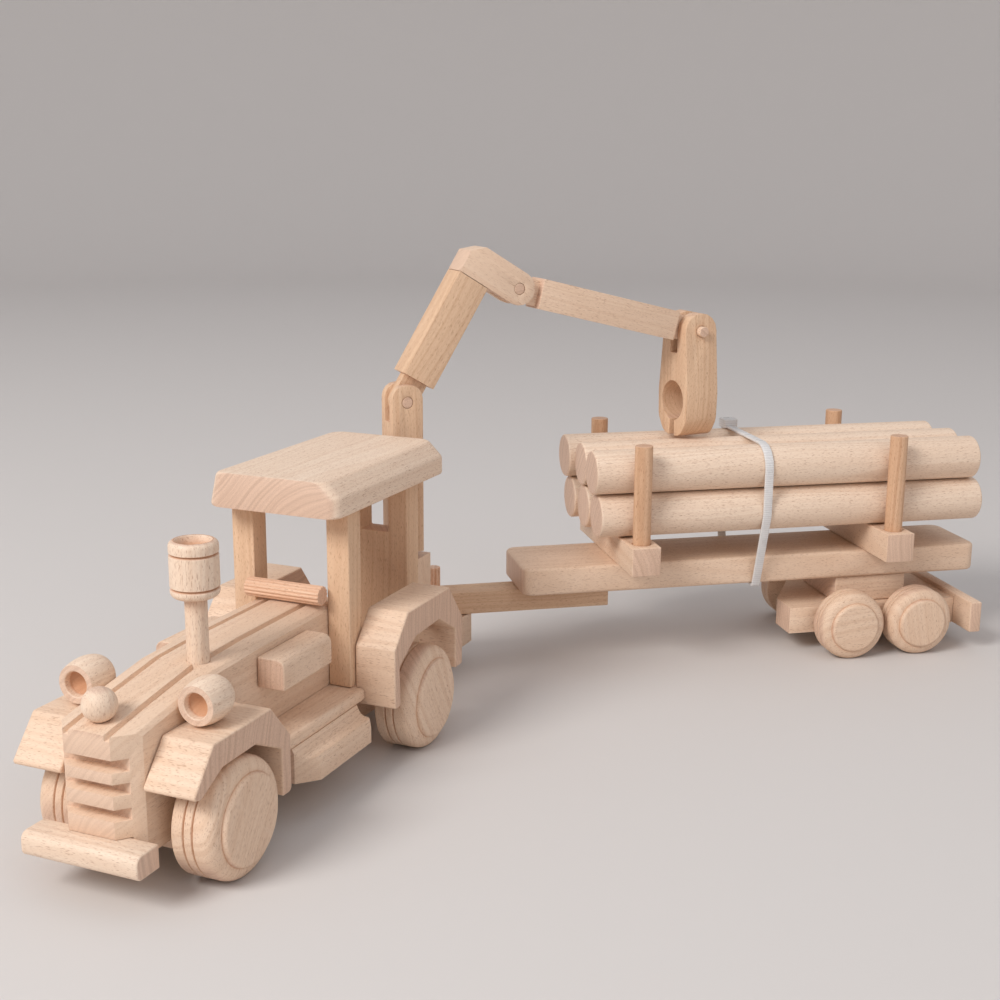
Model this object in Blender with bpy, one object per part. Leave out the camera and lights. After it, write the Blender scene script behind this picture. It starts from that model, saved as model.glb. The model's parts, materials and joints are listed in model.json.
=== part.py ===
"""A wooden toy forestry tractor with a loading crane and a loaded log trailer.

Lengths are millimetres, and MM turns them into Blender's metres. +Z is up, -Y is the way
the tractor drives and +X is its left side. The origin is on the ground, under the middle of
the whole toy's bounding box.

The tractor is drawn in its own frame, midway between its two axles. Every moving piece hangs
on an empty that stands on its joint's axis. In the frames of the crane and of the trailer, +Y
runs outward along the member and +X points to its left side.
"""

import math

import bmesh
import bpy
from mathutils import Matrix, Vector

MM = 0.001

# Clearances
GAP = 0.3              # between faces that are glued or rest on each other
RUNNING = 0.4          # round a dowel that turns in its bore
TONGUE_PLAY = 0.4      # each side of a tongue in its slot

# Roundness
ARC_STEP = math.radians(22.5)
WHEEL_SIDES = 32
BOGIE_WHEEL_SIDES = 26
TURNED_SIDES = 24
LOG_SIDES = 20
DOWEL_SIDES = 12

# Tractor
WHEELBASE = 154.5
FRONT_Y = -WHEELBASE / 2
REAR_Y = WHEELBASE / 2
WHEEL_R = 25.9
AXLE_Z = WHEEL_R * math.cos(math.pi / WHEEL_SIDES)
WHEEL_WIDTH = 22.4
WHEEL_HUB_R = 19.2
FRONT_WHEEL_OUTER = 46.25
REAR_WHEEL_OUTER = 56.3
FRONT_SLIDE = 3.25     # a wheel set has end play, and stands pushed to the left
REAR_SLIDE = 1.5
HUB_HEIGHT = 1.6
AXLE_R = 3.2
NOSE_Y = FRONT_Y - 39.8
NOSE_BOTTOM = 18.3
HOOD_REAR = 47.0
HOOD_HALF = 19.7
HOOD_CROWN = 82.0
CHASSIS_HALF = 19.4
CHASSIS_BOTTOM = 12.0
CHASSIS_TOP = 29.6
CHASSIS_FRONT = FRONT_Y - 12
CHASSIS_REAR = REAR_Y + 123
BUMPER_BOTTOM = 16.6
BUMPER_TOP = 27.0
BUMPER_REAR = FRONT_Y - 34.7
STEP_BOTTOM = 18.8
STEP_TOP = 35.0
FLOOR_FRONT = -38
FLOOR_TOP = 41.0
CAB_HALF = 32.0
POST_FRONT = 35.4
POST_DEPTH = 11.6
WALL_HALF = CHASSIS_HALF
WALL_FRONT = 119.4
WALL_REAR = 132.6
ROOF_BOTTOM = 127.4
FRONT_FENDER_OUTER = 44.6
REAR_FENDER_OUTER = 53.8
FRONT_FENDER_TOP = 65.1
REAR_FENDER_TOP = 76.8
REAR_FENDER_FRONT = REAR_Y - 38.2
BALL_R = 7.2
BALL_Y = FRONT_Y - 30.6
BALL_Z = 78.9
EXHAUST_X = 8.2
EXHAUST_Y = FRONT_Y + 24.5
EXHAUST_R = 4.8
EXHAUST_FOOT = 68
LAMP_R = 9.7
LAMP_FACE = FRONT_Y - 8.9

# Crane, in the plane of its booms
PEDESTAL_HALF = 11
PEDESTAL_TOP = 73.6
CRANE_Y = REAR_Y + 75.7
CRANE_SLEW = math.radians(41.7)
CRANE_HALF = 8.2
TONGUE_HALF = 3.0
TONGUE_R = 7.3
PIN_R = 3.0
PEG_R = 4.0
PEG_DEPTH = 14
MAST_BOTTOM = 77.0
MAST_HALF = 8.7
MAST_PIN_Z = 159.7
BOOM_LIFT = math.radians(58.8)
BOOM_START = 13.0
BOOM_END = 74.4
BOOM_HALF = 9.4
HEAD_HEIGHT = 18.4
ELBOW_DROP = 26.0
UPPER_ANGLE = math.radians(-13.8)
UPPER_START = 13.8
UPPER_END = 102.8
UPPER_HALF = 8.3
UPPER_REACH = 117.2
GRAPPLE_HALF = 10.4
GRAPPLE_LENGTH = 61.6

# Trailer, from the hitch pin backward
HITCH_Y = REAR_Y + 112.4
HITCH_PIN_TOP = 57.2
TRAILER_YAW = math.radians(53.8)
DRAWBAR_HALF = 8.7
DRAWBAR_BOTTOM = CHASSIS_TOP + 0.6
DRAWBAR_END = 102.8
BED_START = 47.4
BED_END = 330.2
BED_HALF = 25.3
BED_BOTTOM = 43.5
BED_TOP = 59.8
BOLSTER_SIDE = 16.7
BOLSTER_HALF = 53.9
BOLSTERS_Y = {"front": 110.8, "rear": 264.2}
STAKE_R = 5.0
STAKE_X = 43.5
STAKE_TOP = 132.5
LOG_PITCH = 25.2
LOGS_START = 88.1
LOG_LENGTH = 235
BOGIE_WHEEL_R = 20.1
BOGIE_AXLE_Z = BOGIE_WHEEL_R * math.cos(math.pi / BOGIE_WHEEL_SIDES)
BOGIE_WHEEL_WIDTH = 16.0
BOGIE_HUB_R = 13.95
BOGIE_WHEEL_OUTER = 51.0
BOGIE_AXLES_Y = {"front": 241.5, "rear": 284.4}
BOGIE_HALF = 28.0
BOGIE_BOTTOM = 11.7
BOGIE_TOP = 27.5
BOGIE_FRONT = 209.5
BOGIE_PEDESTAL_HALF = 23.0
TRAILER_BUMPER_Y = 316
TIE_Y = 187.5

# Colours and roughness of the dry wood and of the cable tie
BEECH = ((0.78, 0.60, 0.42), 0.62)
BEECH_PALE = ((0.82, 0.66, 0.47), 0.60)
BEECH_WARM = ((0.74, 0.53, 0.35), 0.64)
DOWEL = ((0.68, 0.44, 0.27), 0.58)
NYLON = ((0.86, 0.87, 0.88), 0.28)

SIDES = {"left": 1, "right": -1}


# Outlines

def outline(*corners):
    """A closed outline of (a, b) corners; (a, b, radius) rounds that corner with an arc."""
    points = []
    for index, corner in enumerate(corners):
        here = Vector(corner[:2])
        if len(corner) == 2:
            points.append(here)
            continue
        back = (Vector(corners[index - 1][:2]) - here).normalized()
        ahead = (Vector(corners[(index + 1) % len(corners)][:2]) - here).normalized()
        half = back.angle(ahead) / 2
        centre = here + (back + ahead).normalized() * corner[2] / math.sin(half)
        start = here + back * corner[2] / math.tan(half) - centre
        turn = math.copysign(math.pi - 2 * half, ahead.x * back.y - ahead.y * back.x)
        steps = max(1, round(abs(turn) / ARC_STEP))
        for step in range(steps + 1):
            points.append(centre + Matrix.Rotation(turn * step / steps, 2) @ start)
    return points


def rectangle(low_a, high_a, low_b, high_b):
    return outline((low_a, low_b), (high_a, low_b), (high_a, high_b), (low_a, high_b))


def circle(centre_a, centre_b, radius, sides=DOWEL_SIDES):
    """A round outline that has a flat facet, not a corner, at the bottom."""
    points = []
    for side in range(sides):
        angle = math.tau * (side + 0.5) / sides
        points.append(Vector((centre_a + radius * math.sin(angle), centre_b - radius * math.cos(angle))))
    return points


def belt(circles):
    """The taut loop round (a, b, radius) circles, which are listed counterclockwise."""
    leaving = []
    for index, (a, b, radius) in enumerate(circles):
        next_a, next_b, next_radius = circles[(index + 1) % len(circles)]
        run = Vector((next_a - a, next_b - b))
        tilt = math.acos((radius - next_radius) / run.length)
        leaving.append(math.atan2(run.y, run.x) - tilt)
    points = []
    for index, (a, b, radius) in enumerate(circles):
        start = leaving[index - 1]
        turn = (leaving[index] - start) % math.tau
        steps = max(1, round(turn / ARC_STEP))
        for step in range(steps + 1):
            angle = start + turn * step / steps
            points.append(Vector((a + radius * math.cos(angle), b + radius * math.sin(angle))))
    return points


# Solids

def on_axis(a, b, along, axis):
    """A point in metres, from an outline's point and its place along the swept axis."""
    order = {"X": (along, a, b), "Y": (a, along, b), "Z": (a, b, along)}
    return Vector(order[axis]) * MM


def add_object(name, solid, parent):
    bmesh.ops.recalc_face_normals(solid, faces=solid.faces)
    mesh = bpy.data.meshes.new(name)
    solid.to_mesh(mesh)
    solid.free()
    obj = bpy.data.objects.new(name, mesh)
    obj.parent = parent
    bpy.context.scene.collection.objects.link(obj)
    return obj


def loft(name, sections, axis, parent=None):
    """A solid through (along, outline) sections that all have the same number of points."""
    solid = bmesh.new()
    rings = [[solid.verts.new(on_axis(a, b, along, axis)) for a, b in points] for along, points in sections]
    solid.faces.new(rings[0])
    solid.faces.new(rings[-1])
    for ring, following in zip(rings, rings[1:]):
        for index in range(len(ring)):
            solid.faces.new((ring[index - 1], ring[index], following[index], following[index - 1]))
    return add_object(name, solid, parent)


def prism(name, points, low, high, axis, parent=None):
    """An outline swept straight from low to high."""
    return loft(name, [(low, points), (high, points)], axis, parent)


def turned(name, profile, sides, axis, centre=(0, 0), parent=None):
    """A turned solid, from (radius, height) points that run from pole to pole."""
    solid = bmesh.new()
    rings = []
    for radius, height in profile:
        points = circle(*centre, radius, sides) if radius > 0 else [centre]
        rings.append([solid.verts.new(on_axis(a, b, height, axis)) for a, b in points])
    for ring, following in zip(rings, rings[1:]):
        for side in range(sides):
            corners = [loop[(side - step) % len(loop)] for loop, step in
                       ((ring, 0), (ring, 1), (following, 1), (following, 0))]
            solid.faces.new(list(dict.fromkeys(corners)))
    return add_object(name, solid, parent)


def rod(name, radius, low, high, axis, centre=(0, 0), parent=None, sides=DOWEL_SIDES):
    """A round bar with eased ends."""
    ease = 0.12 * radius
    profile = ((0, low), (radius - ease, low), (radius, low + ease),
               (radius, high - ease), (radius - ease, high), (0, high))
    return turned(name, profile, sides, axis, centre, parent)


def combine(obj, tools, operation):
    """Join tools to a piece, or cut them out of it, for good."""
    for tool in tools:
        tool.hide_render = True
        tool.display_type = "WIRE"
        step = obj.modifiers.new(tool.name, "BOOLEAN")
        step.operation = operation
        step.solver = "EXACT"
        step.object = tool
    graph = bpy.context.evaluated_depsgraph_get()
    result = bpy.data.meshes.new_from_object(obj.evaluated_get(graph))
    obj.modifiers.clear()
    obj.data = result
    result.name = obj.name
    for tool in tools:
        bpy.data.objects.remove(tool)
    return obj


def carve(obj, *tools):
    return combine(obj, tools, "DIFFERENCE")


def fuse(obj, *tools):
    return combine(obj, tools, "UNION")


def finish(obj, look, sharp_degrees=None):
    """Give a piece its own material, and smooth shading where it is round."""
    colour, roughness = look
    surface = bpy.data.materials.new(obj.name + "_surface")
    surface.use_nodes = True
    surface.diffuse_color = (*colour, 1)
    shader = surface.node_tree.nodes["Principled BSDF"]
    shader.inputs["Base Color"].default_value = (*colour, 1)
    shader.inputs["Roughness"].default_value = roughness
    shader.inputs["Metallic"].default_value = 0
    obj.data.materials.clear()
    obj.data.materials.append(surface)
    if sharp_degrees:
        obj.data.shade_smooth()
        obj.data.set_sharp_from_angle(angle=math.radians(sharp_degrees))
    return obj


def frame(name, location, parent=None, turn=(0, 0, 0)):
    """An empty on a joint's axis, placed in its parent's frame."""
    empty = bpy.data.objects.new(name, None)
    empty.empty_display_size = 10 * MM
    empty.parent = parent
    empty.location = Vector(location) * MM
    empty.rotation_euler = turn
    bpy.context.scene.collection.objects.link(empty)
    return empty


# Wheels

def wheel(name, radius, width, hub_radius, outer, sides, side, axis):
    """A wheel with two tread grooves, a round shoulder, a raised hub and a blind bore.

    Heights run outward from the inner face, and side is +1 on the left, -1 on the right.
    """
    rim = width - HUB_HEIGHT
    bore = width * 0.55
    groove_depth = 0.9
    profile = [(0, bore), (AXLE_R + GAP, bore), (AXLE_R + GAP, 0), (radius - 1, 0), (radius, 1)]
    for middle in (width * 0.26, width * 0.45):
        profile += [(radius, middle - 0.5), (radius - groove_depth, middle), (radius, middle + 0.5)]
    profile += [(radius, rim, radius - hub_radius - 0.6), (hub_radius, rim),
                (hub_radius - 0.4, width - 0.5), (hub_radius - 1.6, width), (0, width)]
    heights = [(distance, side * (outer - width + height)) for distance, height in outline(*profile)]
    finish(turned(name, heights, sides, "X", parent=axis), BEECH, 32)


def wheelset(name, wheel_names, axle_name, place, parent, size, slide=0):
    """Two wheels fixed on a dowel that turns in the beam; slide pushes all three to the left."""
    radius, width, hub_radius, outer, sides = size
    axis = frame(name, (0, place, radius * math.cos(math.pi / sides)), parent)
    for wheel_name, side in zip(wheel_names, (1, -1)):
        wheel(wheel_name, radius, width, hub_radius, outer + side * slide, sides, side, axis)
    reach = outer - width * 0.45 - GAP
    finish(rod(axle_name, AXLE_R, slide - reach, slide + reach, "X", parent=axis), DOWEL, 40)


# Tractor

def hood_section(along):
    """The hood's outline across the tractor, with its two long grooves."""
    crowns = ((NOSE_Y, 70.9), (-89.6, 75.8), (-56.6, 80.9), (-24, HOOD_CROWN), (HOOD_REAR, HOOD_CROWN))
    for (start, low), (end, high) in zip(crowns, crowns[1:]):
        if start <= along <= end:
            crown = low + (high - low) * (along - start) / (end - start)
    half = ((5, crown - 0.1), (8.3, crown - 0.3), (8.8, crown - 2.6), (11.0, crown - 2.6),
            (11.5, crown - 0.6), (18.0, crown - 2.1), (HOOD_HALF, crown - 3.8), (HOOD_HALF, NOSE_BOTTOM))
    return outline((0, crown), *half, *((-x, z) for x, z in reversed(half)))


def build_hood(tractor):
    """The block of the engine, stepped underneath to sit on bumper, chassis and floor."""
    stations = (NOSE_Y, -108, -98, -89.6, -80, -72, -64, -56.6, -46, -35, -24, 10, HOOD_REAR)
    hood = loft("hood_block", [(along, hood_section(along)) for along in stations], "Y", tractor)

    before, behind = NOSE_Y - 5, HOOD_REAR + 5
    steps = ((behind, 0), (behind, FLOOR_TOP + GAP), (FLOOR_FRONT - GAP, FLOOR_TOP + GAP),
             (FLOOR_FRONT - GAP, CHASSIS_TOP + GAP), (CHASSIS_FRONT, CHASSIS_TOP + GAP),
             (CHASSIS_FRONT, NOSE_BOTTOM), (BUMPER_REAR + GAP, NOSE_BOTTOM),
             (BUMPER_REAR + GAP, BUMPER_TOP + GAP), (before, BUMPER_TOP + GAP), (before, 0))
    tools = [prism("cut_steps", outline(*steps), -30, 30, "X", tractor)]

    nose_half, corner_depth = 11.3, 9.5
    for side in SIDES.values():
        corner = ((side * nose_half, NOSE_Y), (side * HOOD_HALF, NOSE_Y + corner_depth),
                  (side * 40, NOSE_Y + corner_depth), (side * 40, before), (side * nose_half, before))
        tools.append(prism("cut_corner", outline(*corner), 0, 90, "Z", tractor))

    saw_radius, saw_depth = 80, 7
    saw = circle(0, NOSE_Y + saw_depth - saw_radius, saw_radius, 96)
    for low, high in ((34.6, 39.8), (45.5, 50.4), (55.1, 60.5)):
        tools.append(prism("cut_slot", saw, low, high, "Z", tractor))

    tools.append(turned("cut_ball", ball_profile(BALL_R + GAP), TURNED_SIDES, "Z", (0, BALL_Y), tractor))
    socket = circle(EXHAUST_X, EXHAUST_Y, EXHAUST_R + GAP)
    tools.append(prism("cut_exhaust", socket, EXHAUST_FOOT - GAP, 90, "Z", tractor))
    finish(carve(hood, *tools), BEECH, 28)


def ball_profile(radius):
    steps = 10
    turns = [math.pi * step / steps for step in range(1, steps)]
    middle = [(radius * math.sin(turn), BALL_Z - radius * math.cos(turn)) for turn in turns]
    return [(0, BALL_Z - radius), *middle, (0, BALL_Z + radius)]


def build_hood_fittings(tractor):
    """The radiator ball, the exhaust stack with its hollow top, the lamps and the side tanks."""
    finish(turned("radiator_ball", ball_profile(BALL_R), TURNED_SIDES, "Z", (0, BALL_Y), tractor), BEECH_PALE, 60)

    low, high, wide = 108.9, 133.5, 10.5
    cup, floor = 7.8, high - 4.0
    profile = [(0, EXHAUST_FOOT), (EXHAUST_R, EXHAUST_FOOT), (EXHAUST_R, low), (wide, low, 2.6)]
    for groove in (low + 4.2, low + 18.9):
        profile += [(wide, groove - 0.6), (wide - 0.9, groove), (wide, groove + 0.6)]
    profile += [(wide, high, 2.6), (cup, high, 0.6), (cup - 1.2, floor), (0, floor)]
    stack = turned("exhaust_stack", outline(*profile), TURNED_SIDES, "Z", (EXHAUST_X, EXHAUST_Y), tractor)
    finish(stack, BEECH_PALE, 40)

    face = LAMP_FACE
    lamp = outline((0, face + 6.5), (5.6, face + 3.6), (6.0, face), (8.4, face), (LAMP_R, face + 3.2, 4),
                   (LAMP_R, face + 16.5, 7.5), (0, face + 16.5))
    lamp_z = FRONT_FENDER_TOP + GAP + LAMP_R
    for name, side in SIDES.items():
        centre = (side * (HOOD_HALF + GAP + LAMP_R), lamp_z)
        finish(turned("headlamp_" + name, lamp, TURNED_SIDES, "Y", centre, tractor), BEECH_PALE, 40)
        inner, outer, low, high = HOOD_HALF + GAP, 33.8, 61.0, 75.2
        tank = outline((inner, low), (outer, low, 1.0), (outer, high, 4.0), (inner, high))
        block = prism("side_tank_" + name, [Vector((side * x, z)) for x, z in tank], -26.4, 15, "Y", tractor)
        finish(block, BEECH)


def build_fenders(tractor):
    """Each fender is a thick arch that is glued to the side of the body."""
    top = FRONT_FENDER_TOP
    front = outline((-33.6, 46.9, 1.5), (-28.1, 45.4, 1.5), (-12.8, 53.2), (11.0, 53.6), (30.6, 44.1),
                    (30.4, 22.4, 1.2), (37.6, 22.4, 2.4), (37.6, 48.6, 1.0), (23.3, top, 1.0), (-18.7, top, 1.0))
    top = REAR_FENDER_TOP
    rear = outline((-38.2, 32.4, 1.2), (-32.4, 32.4, 1.2), (-33.0, 52.4), (-15.6, 62.2), (10.5, 63.2),
                   (28.9, 52.5), (28.5, 31.4, 1.2), (36.6, 31.4, 1.2), (37.2, 57.0, 1.0),
                   (21.6, top, 1.0), (-24.2, top, 1.0), (-38.2, 61.6, 1.0))
    ends = (("front", front, HOOD_HALF, FRONT_FENDER_OUTER, FRONT_Y),
            ("rear", rear, CAB_HALF, REAR_FENDER_OUTER, REAR_Y))
    for end, points, inner, outer, place in ends:
        for name, side in SIDES.items():
            low, high = sorted((side * (inner + GAP), side * outer))
            arch = prism(f"{end}_fender_{name}", points, low, high, "X", tractor)
            arch.location.y = place * MM
            finish(arch, BEECH)


def build_chassis(tractor):
    """The bumper, the long beam with its bores, and the two boards under the cab."""
    depth = 14.4
    bumper = outline((BUMPER_REAR - depth, BUMPER_BOTTOM, 3.0), (BUMPER_REAR, BUMPER_BOTTOM),
                     (BUMPER_REAR, BUMPER_TOP), (BUMPER_REAR - depth, BUMPER_TOP, 3.5))
    finish(prism("front_bumper", bumper, -28.3, 28.3, "X", tractor), BEECH_PALE)

    side_view = rectangle(CHASSIS_FRONT + GAP, CHASSIS_REAR, CHASSIS_BOTTOM, CHASSIS_TOP)
    beam = prism("chassis_beam", side_view, -CHASSIS_HALF, CHASSIS_HALF, "X", tractor)
    tools = [prism("cut_hitch", circle(0, HITCH_Y, PEG_R + GAP), CHASSIS_BOTTOM + 5, 60, "Z", tractor)]
    for axle in (FRONT_Y, REAR_Y):
        tools.append(prism("cut_axle", circle(axle, AXLE_Z, AXLE_R + RUNNING), -30, 30, "X", tractor))
    finish(carve(beam, *tools), BEECH)

    half = 37.5
    floor = outline((-half, STEP_TOP + GAP, 1.0), (half, STEP_TOP + GAP, 1.0), (half, FLOOR_TOP, 2.0),
                    (-half, FLOOR_TOP, 2.0))
    finish(prism("floor_board", floor, FLOOR_FRONT, REAR_FENDER_FRONT - GAP, "Y", tractor), BEECH)


def build_step_board(tractor):
    """The running board: it saddles the beam, and a cove runs along each of its top edges."""
    half, inner, front, rear = 46.2, 38, -27, 31.5
    lip, root = STEP_BOTTOM + 7.6, 37.0
    saddle = CHASSIS_HALF + GAP
    right = ((saddle, CHASSIS_TOP + GAP), (saddle, STEP_BOTTOM), (half, STEP_BOTTOM), (half, lip),
             (half - 1.6, lip + 3.4), (root + 2.4, lip + 3.6, 4.0), (root, STEP_TOP))
    section = outline(*right, *((-corner[0], *corner[1:]) for corner in reversed(right)))
    board = prism("step_board", section, front, rear, "Y", tractor)
    tools = []
    for side in SIDES.values():
        for end, depth, width in ((front, 9, half - inner), (rear, -3, 3)):
            corner = ((side * (half - width), end), (side * half, end + depth), (side * 60, end + depth),
                      (side * 60, end - depth), (side * (half - width), end - depth))
            tools.append(prism("cut_corner", outline(*corner), 0, 50, "Z", tractor))
    finish(carve(board, *tools), BEECH)


def build_cab(tractor):
    """Two posts, a windowed rear wall, a heavy roof and the fluted bar behind the hood."""
    for name, side in SIDES.items():
        low, high = sorted((side * (HOOD_HALF + GAP), side * CAB_HALF))
        plan = rectangle(low, high, POST_FRONT, POST_FRONT + POST_DEPTH)
        finish(prism("cab_post_" + name, plan, FLOOR_TOP + GAP, ROOF_BOTTOM - GAP, "Z", tractor), BEECH_WARM)

    window_half, window_bottom, top, bottom = 8.2, 95.6, ROOF_BOTTOM - GAP, CHASSIS_TOP + GAP
    half = WALL_HALF
    wall = outline((-half, bottom), (half, bottom), (half, top), (window_half, top), (window_half, window_bottom),
                   (-window_half, window_bottom), (-window_half, top), (-half, top))
    finish(prism("cab_rear_wall", wall, WALL_FRONT, WALL_REAR, "Y", tractor), BEECH_WARM)

    half, flat_half, shoulder, top = 35.6, 28.0, 136.8, 144.2
    front, rear = 19.6, 132.7
    roof = outline((-half, ROOF_BOTTOM, 1.5), (half, ROOF_BOTTOM, 1.5), (half, shoulder, 2), (flat_half, top, 3),
                   (-flat_half, top, 3), (-half, shoulder, 2))
    finish(prism("cab_roof", roof, front, rear, "Y", tractor), BEECH_PALE)

    radius, half = 4.7, 20.4
    centre = (POST_FRONT - GAP - radius, HOOD_CROWN + GAP + radius)
    finish(fluted("dashboard_bar", radius, -half, half, "X", centre, tractor), DOWEL, 50)


def fluted(name, radius, low, high, axis, centre, parent):
    """A dowel with shallow flutes along it."""
    flutes, depth = 14, 0.35
    points = []
    for step in range(2 * flutes):
        reach = radius - depth * (step % 2)
        angle = math.pi * step / flutes
        points.append((reach * math.cos(angle), reach * math.sin(angle)))
    ease = 0.8
    sections = []
    for along, scale in ((low, 1 - ease / radius), (low + ease, 1), (high - ease, 1), (high, 1 - ease / radius)):
        sections.append((along, [Vector((centre[0] + a * scale, centre[1] + b * scale)) for a, b in points]))
    return loft(name, sections, axis, parent)


def build_rear_pegs(tractor):
    """The square pedestal that carries the crane, and the hitch pin."""
    low, high = CRANE_Y - PEDESTAL_HALF, CRANE_Y + PEDESTAL_HALF
    plan = rectangle(-PEDESTAL_HALF, PEDESTAL_HALF, low, high)
    pedestal = prism("crane_pedestal", plan, CHASSIS_TOP + GAP, PEDESTAL_TOP, "Z", tractor)
    socket = prism("cut_socket", circle(0, CRANE_Y, PEG_R + RUNNING), PEDESTAL_TOP - PEG_DEPTH - 1, 90, "Z", tractor)
    finish(carve(pedestal, socket), BEECH)

    pin = fluted("hitch_pin", PEG_R, CHASSIS_BOTTOM + 5 + GAP, HITCH_PIN_TOP, "Z", (0, HITCH_Y), tractor)
    finish(pin, DOWEL, 50)


# Crane

def tongue(name, root, eye, parent):
    """A flat tab from its root to the eye where a pin passes, with its end round about the eye."""
    end = eye + math.copysign(TONGUE_R, eye - root)
    round_end = TONGUE_R - 0.01
    points = outline((root, -TONGUE_R), (end, -TONGUE_R, round_end), (end, TONGUE_R, round_end), (root, TONGUE_R))
    tab = prism(name, points, -TONGUE_HALF, TONGUE_HALF, "X", parent)
    bore = prism("cut_eye", circle(eye, 0, PIN_R + RUNNING), -20, 20, "X", parent)
    return carve(tab, bore)


def pin(name, parent):
    finish(rod(name, PIN_R, -CRANE_HALF, CRANE_HALF, "X", parent=parent), DOWEL, 40)


def build_mast(crane):
    """A post with a peg below and a fork above, which holds the mast pin."""
    top = MAST_PIN_Z + MAST_HALF + 0.6
    side_view = outline((-MAST_HALF, MAST_BOTTOM), (MAST_HALF, MAST_BOTTOM), (MAST_HALF, top, 7.5),
                        (-MAST_HALF, top, 7.5))
    post = prism("crane_mast", side_view, -CRANE_HALF, CRANE_HALF, "X", crane)
    slot = rectangle(-20, 20, MAST_PIN_Z - 10.8, top + 5)
    slot_half = TONGUE_HALF + TONGUE_PLAY
    carve(post, prism("cut_slot", slot, -slot_half, slot_half, "X", crane),
          prism("cut_pin", circle(0, MAST_PIN_Z, PIN_R + GAP), -20, 20, "X", crane))
    fuse(post, prism("peg", circle(0, 0, PEG_R), PEDESTAL_TOP - PEG_DEPTH, MAST_BOTTOM + 2, "Z", crane))
    finish(post, BEECH_WARM, 28)
    eye = frame("mast_pin_axis", (0, 0, MAST_PIN_Z), crane)
    pin("mast_pin", eye)


def build_lower_boom(lift):
    block = prism("lower_boom", rectangle(BOOM_START, BOOM_END, -BOOM_HALF, BOOM_HALF), -CRANE_HALF, CRANE_HALF,
                  "X", lift)
    fuse(block, tongue("boom_tongue", BOOM_START + 2, 0, lift))
    carve(block, prism("cut_socket", circle(0, 0, PEG_R + RUNNING), BOOM_END - PEG_DEPTH, BOOM_END + 5, "Y", lift))
    finish(block, BEECH_WARM)


def build_elbow_head(swivel):
    """A block across the boom's end: a peg into the boom, and a fork round the elbow pin."""
    half = HEAD_HEIGHT / 2
    round_end = (HEAD_HEIGHT - GAP) / 2 - 0.01
    side_view = outline((GAP, BOOM_HALF), (GAP, -ELBOW_DROP - half, round_end),
                        (HEAD_HEIGHT, -ELBOW_DROP - half, round_end), (HEAD_HEIGHT, BOOM_HALF - 7),
                        (HEAD_HEIGHT - 6, BOOM_HALF))
    head = prism("elbow_head", side_view, -CRANE_HALF, CRANE_HALF, "X", swivel)
    slot_half = TONGUE_HALF + TONGUE_PLAY
    slot = rectangle(-5, HEAD_HEIGHT + 5, -ELBOW_DROP - 20, -ELBOW_DROP + half + 1.5)
    carve(head, prism("cut_slot", slot, -slot_half, slot_half, "X", swivel),
          prism("cut_pin", circle(half, -ELBOW_DROP, PIN_R + GAP), -20, 20, "X", swivel))
    fuse(head, prism("peg", circle(0, 0, PEG_R), 1 - PEG_DEPTH, 3, "Y", swivel))
    finish(head, BEECH, 28)
    eye = frame("elbow_pin_axis", (0, half, -ELBOW_DROP), swivel)
    pin("elbow_pin", eye)


def build_upper_boom(elbow):
    block = prism("upper_boom", rectangle(UPPER_START, UPPER_END, -UPPER_HALF, UPPER_HALF), -CRANE_HALF, CRANE_HALF,
                  "X", elbow)
    fuse(block, tongue("inner_tongue", UPPER_START + 2, 0, elbow),
         tongue("outer_tongue", UPPER_END - 2, UPPER_REACH, elbow))
    finish(block, BEECH)
    eye = frame("grapple_pin_axis", (0, UPPER_REACH, 0), elbow)
    pin("grapple_pin", eye)


def build_grapple(swing):
    """A drop-shaped block: a fork at the top, and a log-sized eye with a slit below it."""
    bottom = -GRAPPLE_LENGTH
    front_view = outline((-12.0, GRAPPLE_HALF), (-12.4, -2), (-15.8, -36), (-15.2, bottom + 10, 6), (-9, bottom, 9),
                         (9, bottom, 9), (15.2, bottom + 10, 6), (15.8, -36), (12.4, -2), (12.0, GRAPPLE_HALF))
    block = prism("grapple", front_view, -GRAPPLE_HALF, GRAPPLE_HALF, "Y", swing)
    round_top = outline((-30, -30), (-GRAPPLE_HALF, -30), (-GRAPPLE_HALF, GRAPPLE_HALF, 10.3),
                        (GRAPPLE_HALF, GRAPPLE_HALF, 10.3), (GRAPPLE_HALF, -30), (30, -30), (30, 30), (-30, 30))
    slot_half = TONGUE_HALF + TONGUE_PLAY
    carve(block, prism("cut_top", round_top, -20, 20, "X", swing),
          prism("cut_fork", rectangle(-20, 20, -13, 20), -slot_half, slot_half, "X", swing),
          prism("cut_pin", circle(0, 0, PIN_R + GAP), -20, 20, "X", swing),
          prism("cut_eye", circle(0, bottom + 20.5, 11.6, 32), -20, 20, "Y", swing),
          prism("cut_slit", rectangle(-2.6, 2.6, bottom - 5, bottom + 12), -20, 20, "Y", swing))
    finish(block, BEECH_WARM, 28)


def build_crane(tractor):
    crane = frame("crane_axis", (0, CRANE_Y, 0), tractor, (0, 0, -CRANE_SLEW))
    build_mast(crane)
    lift = frame("boom_lift_axis", (0, 0, MAST_PIN_Z), crane, (BOOM_LIFT, 0, 0))
    build_lower_boom(lift)
    swivel = frame("boom_swivel_axis", (0, BOOM_END, 0), lift)
    build_elbow_head(swivel)
    elbow = frame("elbow_axis", (0, HEAD_HEIGHT / 2, -ELBOW_DROP), swivel, (UPPER_ANGLE - BOOM_LIFT, 0, 0))
    build_upper_boom(elbow)
    swing = frame("grapple_axis", (0, UPPER_REACH, 0), elbow, (-UPPER_ANGLE, 0, 0))
    build_grapple(swing)


# Trailer

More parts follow.
